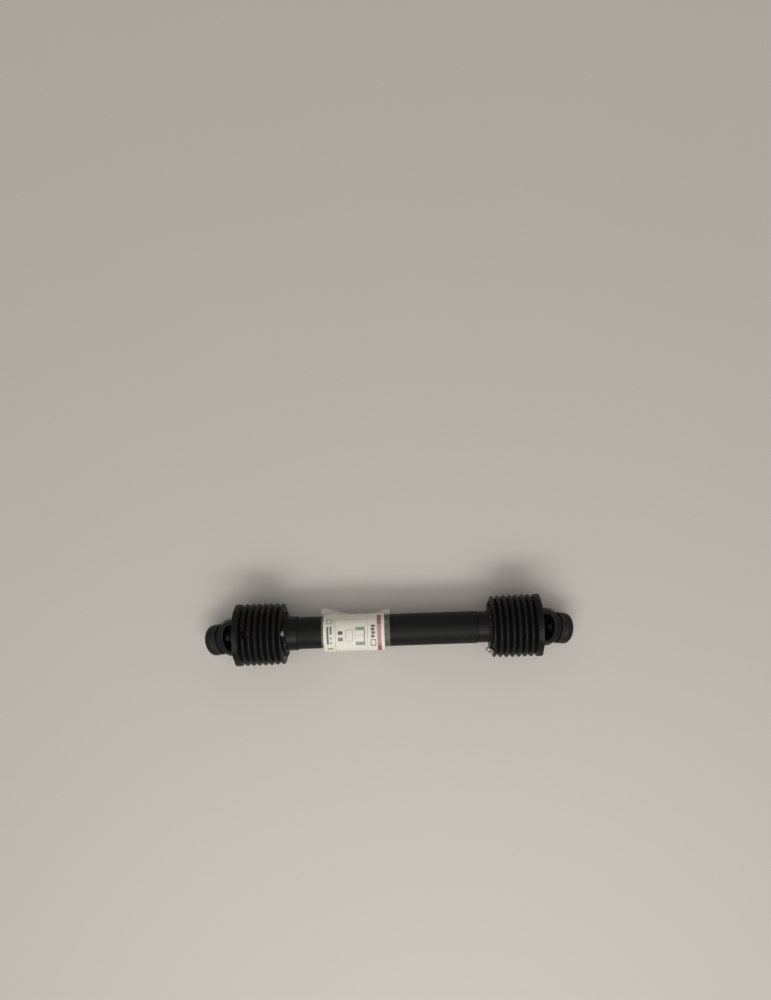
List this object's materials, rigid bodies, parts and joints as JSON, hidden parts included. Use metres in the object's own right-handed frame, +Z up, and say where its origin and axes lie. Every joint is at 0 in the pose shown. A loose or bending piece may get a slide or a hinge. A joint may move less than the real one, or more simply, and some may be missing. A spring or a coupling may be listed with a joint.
{
  "type": "pto drive shaft",
  "caption": "Telescoping PTO drive shaft with universal joints, splined quick-release yokes, a plastic guard tube and ribbed guard cones.",
  "frame": {"origin": "middle of the shaft's length, on the floor under its axis", "axes": "+X along the shaft towards the inner-tube end, +Z up; at rest both outer yokes bend towards -Y and hang down until their collars almost meet the floor"},
  "size_m": [0.948, 0.1578, 0.1575],
  "materials": {
    "guard_plastic": "black, satin moulded plastic",
    "tube_plastic": "black, smooth extruded plastic",
    "yoke_paint": "black paint on forged steel",
    "collar_paint": "black paint, worn, with a brown tint",
    "bare_steel": "bare spring steel",
    "bearing_steel": "ground bearing steel",
    "greased_steel": "bare steel with a film of grease",
    "chain_steel": "blackened steel",
    "bearing_nylon": "natural nylon",
    "screw_steel": "zinc-plated",
    "label_paper": "warm white paper",
    "label_film": "clear adhesive film"
  },
  "bodies": {
    "outer_guard": {"outer_guard_tube": "tube_plastic", "left_guard_cone": "guard_plastic", "left_guard_base": "guard_plastic", "left_bearing_ring": "bearing_nylon", "left_guard_screw_1": "screw_steel", "left_guard_screw_2": "screw_steel", "left_chain": "chain_steel", "left_chain_hook": "chain_steel", "label_wrap": "label_paper", "label_film": "label_film"},
    "outer_drive": {"outer_drive_tube": "greased_steel", "left_inner_yoke": "yoke_paint", "left_yoke_pin": "bare_steel", "left_cup_z1": "bearing_steel", "left_cup_z2": "bearing_steel", "left_circlip_z1": "bare_steel", "left_circlip_z2": "bare_steel"},
    "inner_drive": {"inner_drive_tube": "greased_steel", "right_inner_yoke": "yoke_paint", "right_yoke_pin": "bare_steel", "right_cup_z1": "bearing_steel", "right_cup_z2": "bearing_steel", "right_circlip_z1": "bare_steel", "right_circlip_z2": "bare_steel"},
    "inner_guard": {"inner_guard_tube": "tube_plastic", "right_guard_cone": "guard_plastic", "right_guard_base": "guard_plastic", "right_bearing_ring": "bearing_nylon", "right_guard_screw_1": "screw_steel", "right_guard_screw_2": "screw_steel", "right_chain": "chain_steel", "right_chain_hook": "chain_steel"},
    "left_cross_body": {"left_cross": "greased_steel", "left_grease_nipple": "bearing_steel"},
    "left_outer_fork": {"left_outer_yoke": "yoke_paint", "left_cup_y1": "bearing_steel", "left_cup_y2": "bearing_steel", "left_circlip_y1": "bare_steel", "left_circlip_y2": "bare_steel", "left_collar_ring": "bare_steel", "left_collar_spring": "bare_steel"},
    "left_collar_body": {"left_collar": "collar_paint"},
    "left_ball_1": {"left_lock_ball_1": "bearing_steel"},
    "left_ball_2": {"left_lock_ball_2": "bearing_steel"},
    "left_ball_3": {"left_lock_ball_3": "bearing_steel"},
    "right_cross_body": {"right_cross": "greased_steel", "right_grease_nipple": "bearing_steel"},
    "right_outer_fork": {"right_outer_yoke": "yoke_paint", "right_cup_y1": "bearing_steel", "right_cup_y2": "bearing_steel", "right_circlip_y1": "bare_steel", "right_circlip_y2": "bare_steel", "right_collar_ring": "bare_steel", "right_collar_spring": "bare_steel"},
    "right_collar_body": {"right_collar": "collar_paint"},
    "right_ball_1": {"right_lock_ball_1": "bearing_steel"},
    "right_ball_2": {"right_lock_ball_2": "bearing_steel"},
    "right_ball_3": {"right_lock_ball_3": "bearing_steel"}
  },
  "joints": [
    {"name": "drive_spin", "type": "hinge", "parent": "outer_guard", "child": "outer_drive", "pos_m": [0, 0, 0.07847], "axis": [1, 0, 0], "continuous": true},
    {"name": "telescope", "type": "slide", "parent": "outer_drive", "child": "inner_drive", "axis": [1, 0, 0], "range_m": [0, 0.28]},
    {"name": "inner_guard_spin", "type": "hinge", "parent": "inner_drive", "child": "inner_guard", "pos_m": [0, 0, 0.07847], "axis": [1, 0, 0], "continuous": true},
    {"name": "left_cross_swing", "type": "hinge", "parent": "outer_drive", "child": "left_cross_body", "pos_m": [-0.362, 0, 0.07847], "axis": [0, 0, 1], "range_deg": [-33, 17]},
    {"name": "left_fork_tilt", "type": "hinge", "parent": "left_cross_body", "child": "left_outer_fork", "pos_m": [-0.362, 0, 0.07847], "axis": [0.1392, -0.9903, 0], "range_deg": [-60, 10]},
    {"name": "left_collar_pull", "type": "slide", "parent": "left_outer_fork", "child": "left_collar_body", "axis": [0.9037, 0.127, 0.409], "range_m": [0, 0.006], "stiffness_N_per_m": 4000, "springref_m": -0.006, "deforming": ["left_collar_spring"]},
    {"name": "left_ball_1_lift", "type": "slide", "parent": "left_outer_fork", "child": "left_ball_1", "axis": [-0.405, -0.0569, 0.9125], "range_m": [0, 0.003]},
    {"name": "left_ball_2_lift", "type": "slide", "parent": "left_outer_fork", "child": "left_ball_2", "axis": [0.082, 0.8861, -0.4563], "range_m": [0, 0.003]},
    {"name": "left_ball_3_lift", "type": "slide", "parent": "left_outer_fork", "child": "left_ball_3", "axis": [0.323, -0.8291, -0.4563], "range_m": [0, 0.003]},
    {"name": "right_cross_swing", "type": "hinge", "parent": "inner_drive", "child": "right_cross_body", "pos_m": [0.362, 0, 0.07847], "axis": [0, 0, 1], "range_deg": [-17, 33]},
    {"name": "right_fork_tilt", "type": "hinge", "parent": "right_cross_body", "child": "right_outer_fork", "pos_m": [0.362, 0, 0.07847], "axis": [0.1392, 0.9903, 0], "range_deg": [-60, 10]},
    {"name": "right_collar_pull", "type": "slide", "parent": "right_outer_fork", "child": "right_collar_body", "axis": [-0.9037, 0.127, 0.409], "range_m": [0, 0.006], "stiffness_N_per_m": 4000, "springref_m": -0.006, "deforming": ["right_collar_spring"]},
    {"name": "right_ball_1_lift", "type": "slide", "parent": "right_outer_fork", "child": "right_ball_1", "axis": [0.405, -0.0569, 0.9125], "range_m": [0, 0.003]},
    {"name": "right_ball_2_lift", "type": "slide", "parent": "right_outer_fork", "child": "right_ball_2", "axis": [-0.323, -0.8291, -0.4563], "range_m": [0, 0.003]},
    {"name": "right_ball_3_lift", "type": "slide", "parent": "right_outer_fork", "child": "right_ball_3", "axis": [-0.082, 0.8861, -0.4563], "range_m": [0, 0.003]}
  ],
  "couplings": [
    {"joint": "left_ball_1_lift", "follows": "left_collar_pull", "ratio": 0.5},
    {"joint": "left_ball_2_lift", "follows": "left_collar_pull", "ratio": 0.5},
    {"joint": "left_ball_3_lift", "follows": "left_collar_pull", "ratio": 0.5},
    {"joint": "right_ball_1_lift", "follows": "right_collar_pull", "ratio": 0.5},
    {"joint": "right_ball_2_lift", "follows": "right_collar_pull", "ratio": 0.5},
    {"joint": "right_ball_3_lift", "follows": "right_collar_pull", "ratio": 0.5}
  ]
}
